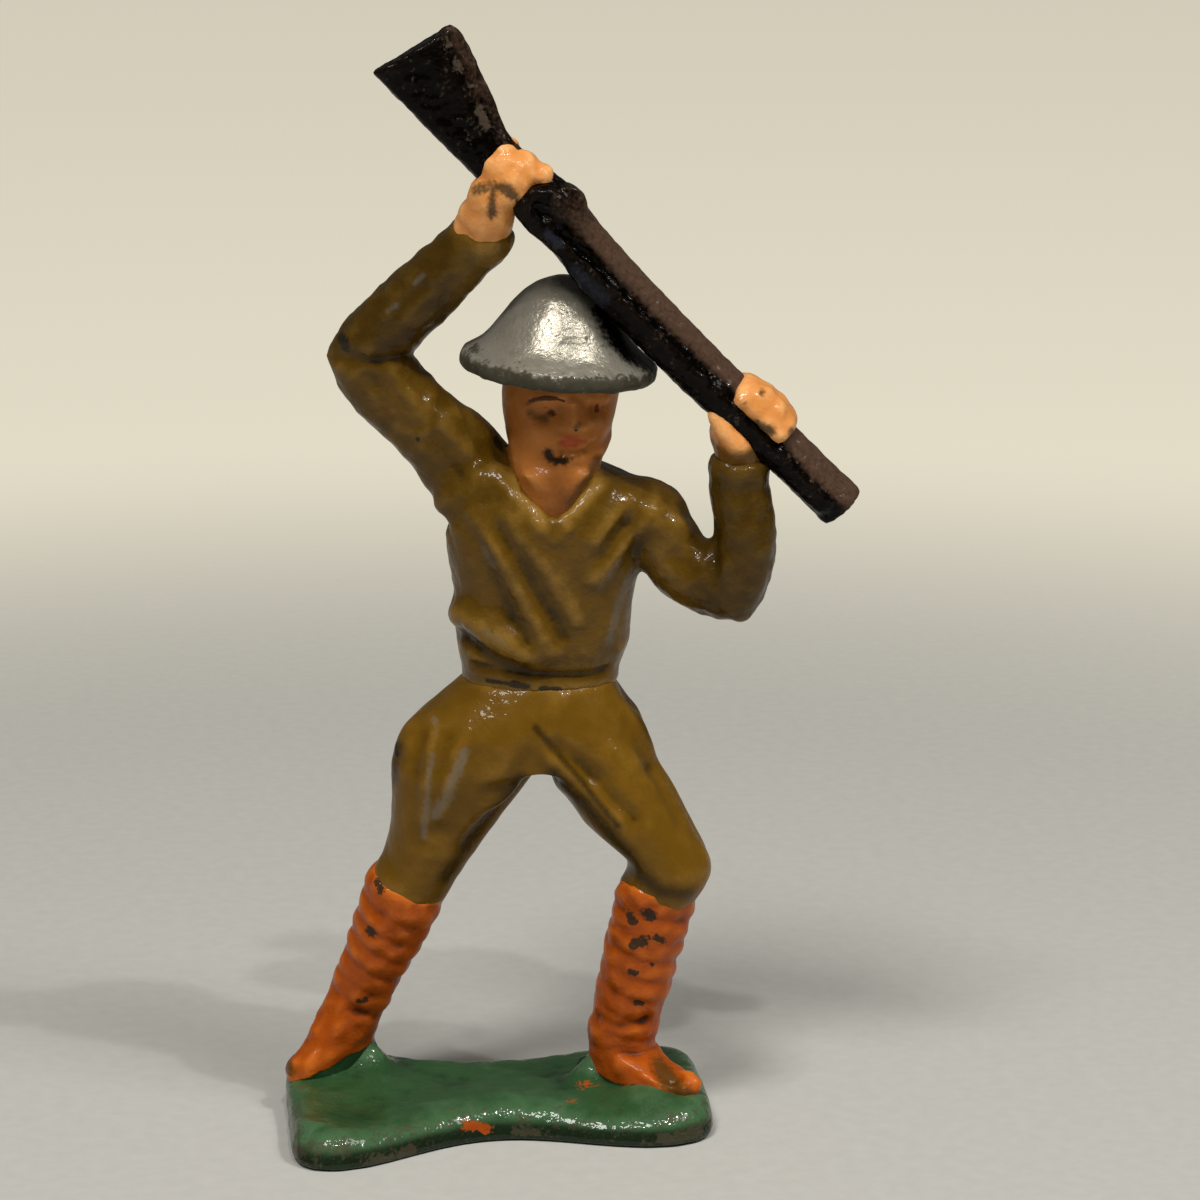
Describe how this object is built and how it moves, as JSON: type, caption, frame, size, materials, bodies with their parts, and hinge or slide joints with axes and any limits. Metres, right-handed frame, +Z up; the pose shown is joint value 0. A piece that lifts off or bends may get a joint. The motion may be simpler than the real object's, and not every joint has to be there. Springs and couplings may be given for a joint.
{
  "type": "toy soldier figure",
  "caption": "Painted cast-metal toy soldier in a wide-brimmed helmet, striding on a waisted base and swinging a rifle overhead like a club.",
  "frame": {"origin": "middle of the base's flat underside, at the base's waist", "axes": "+X along the base towards the soldier's left foot, +Y from the soldier's front to the back, +Z up"},
  "size_m": [0.0453, 0.0209, 0.0883],
  "materials": {
    "green_enamel": "gloss",
    "orange_enamel": "gloss",
    "breeches_enamel": "gloss",
    "tunic_enamel": "gloss",
    "flesh_enamel": "gloss",
    "silver_enamel": "gloss",
    "brown_enamel": "gloss"
  },
  "bodies": {
    "root": {"base": "green_enamel", "right_boot": "orange_enamel", "left_boot": "orange_enamel", "right_puttee": "orange_enamel", "left_puttee": "orange_enamel", "right_breeches_leg": "breeches_enamel", "left_breeches_leg": "breeches_enamel", "breeches_seat": "breeches_enamel", "waistband": "tunic_enamel", "tunic": "tunic_enamel", "right_upper_sleeve": "tunic_enamel", "left_upper_sleeve": "tunic_enamel", "right_lower_sleeve": "tunic_enamel", "left_lower_sleeve": "tunic_enamel", "right_cuff": "tunic_enamel", "left_cuff": "tunic_enamel", "right_hand": "flesh_enamel", "left_hand": "flesh_enamel", "neck": "flesh_enamel", "head": "flesh_enamel", "helmet": "silver_enamel", "rifle_stock": "brown_enamel", "rifle_barrel": "brown_enamel", "rifle_receiver": "brown_enamel", "rifle_nose_cap": "brown_enamel"}
  },
  "joints": []
}
